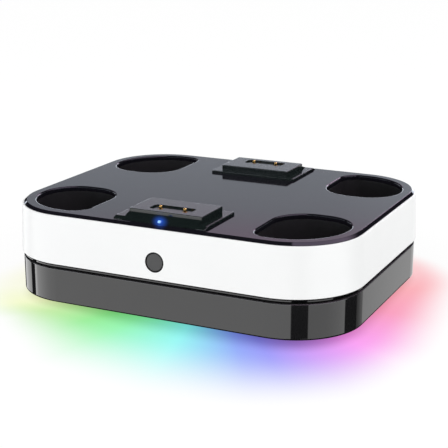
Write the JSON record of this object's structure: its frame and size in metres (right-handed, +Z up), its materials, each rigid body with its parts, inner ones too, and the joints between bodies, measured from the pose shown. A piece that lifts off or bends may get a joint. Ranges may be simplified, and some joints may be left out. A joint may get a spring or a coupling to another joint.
{
  "type": "controller charging dock",
  "caption": "Rounded rectangular dock with deep handle wells and raised contact blocks that charges game controllers, with a front light button and an underglow ring.",
  "frame": {"origin": "centre of the footprint on the floor under the feet", "axes": "+X to the right along the width, -Y towards the front with the button, +Z up"},
  "size_m": [0.181, 0.1462, 0.0533],
  "materials": {
    "base_black": "high gloss",
    "spacer_black": "high gloss",
    "band_white": "satin gloss",
    "deck_black": "high gloss",
    "button_grey": "fine satin",
    "cup_black": "fine moulded grain",
    "block_black": "fine moulded grain",
    "lens_blue": "clear, lit blue",
    "diffuser_white": "milky, lit",
    "plate_black": "fine moulded grain",
    "foot_rubber": "matte",
    "contact_gold": "gold plated",
    "spring_steel": "drawn wire",
    "screw_steel": "zinc plated",
    "inlet_steel": "nickel plated",
    "board_green": "solder mask",
    "board_white": "white solder mask",
    "chip_black": "moulded",
    "lamp_white": "moulded",
    "connector_white": "moulded",
    "wire_rubber": "soft sleeve"
  },
  "bodies": {
    "dock": {"base_shell": "base_black", "spacer_ring": "spacer_black", "white_band": "band_white", "top_deck": "deck_black", "button_bezel": "spacer_black", "tact_switch": "chip_black", "button_board": "board_green", "light_ring": "diffuser_white", "led_ring_board": "board_white", "rgb_leds": "lamp_white", "bottom_plate": "plate_black", "main_board": "board_green", "board_chips": "chip_black", "wire_connectors": "connector_white", "usb_shell": "inlet_steel", "usb_tongue": "chip_black", "contact_wires_front": "wire_rubber", "contact_wires_rear": "wire_rubber", "button_wires": "wire_rubber", "led_wires": "wire_rubber", "case_screws": "screw_steel", "block_screws": "screw_steel", "board_screws": "screw_steel", "button_board_screws": "screw_steel", "handle_cup_front_left": "cup_black", "rubber_foot_front_left": "foot_rubber", "pin_barrel_front_left": "contact_gold", "pin_spring_front_left": "spring_steel", "handle_cup_front_right": "cup_black", "rubber_foot_front_right": "foot_rubber", "pin_barrel_front_right": "contact_gold", "pin_spring_front_right": "spring_steel", "handle_cup_rear_left": "cup_black", "rubber_foot_rear_left": "foot_rubber", "pin_barrel_rear_left": "contact_gold", "pin_spring_rear_left": "spring_steel", "handle_cup_rear_right": "cup_black", "rubber_foot_rear_right": "foot_rubber", "pin_barrel_rear_right": "contact_gold", "pin_spring_rear_right": "spring_steel", "charging_block_front": "block_black", "indicator_lens_front": "lens_blue", "indicator_led_front": "lamp_white", "contact_board_front": "board_green", "charging_block_rear": "block_black", "indicator_lens_rear": "lens_blue", "indicator_led_rear": "lamp_white", "contact_board_rear": "board_green"},
    "button": {"mode_button": "button_grey", "switch_plunger": "chip_black"},
    "pin_front_left": {"contact_pin_front_left": "contact_gold"},
    "pin_front_right": {"contact_pin_front_right": "contact_gold"},
    "pin_rear_left": {"contact_pin_rear_left": "contact_gold"},
    "pin_rear_right": {"contact_pin_rear_right": "contact_gold"}
  },
  "joints": [
    {"name": "button_press", "type": "slide", "parent": "dock", "child": "button", "axis": [0, 1, 0], "range_m": [0, 0.0005], "stiffness_N_per_m": 1500, "springref_m": -0.0005},
    {"name": "pin_front_left_press", "type": "slide", "parent": "dock", "child": "pin_front_left", "axis": [0, 0, -1], "range_m": [0, 0.0012], "stiffness_N_per_m": 400, "springref_m": -0.001, "deforming": ["pin_spring_front_left"]},
    {"name": "pin_front_right_press", "type": "slide", "parent": "dock", "child": "pin_front_right", "axis": [0, 0, -1], "range_m": [0, 0.0012], "stiffness_N_per_m": 400, "springref_m": -0.001, "deforming": ["pin_spring_front_right"]},
    {"name": "pin_rear_left_press", "type": "slide", "parent": "dock", "child": "pin_rear_left", "axis": [0, 0, -1], "range_m": [0, 0.0012], "stiffness_N_per_m": 400, "springref_m": -0.001, "deforming": ["pin_spring_rear_left"]},
    {"name": "pin_rear_right_press", "type": "slide", "parent": "dock", "child": "pin_rear_right", "axis": [0, 0, -1], "range_m": [0, 0.0012], "stiffness_N_per_m": 400, "springref_m": -0.001, "deforming": ["pin_spring_rear_right"]}
  ]
}
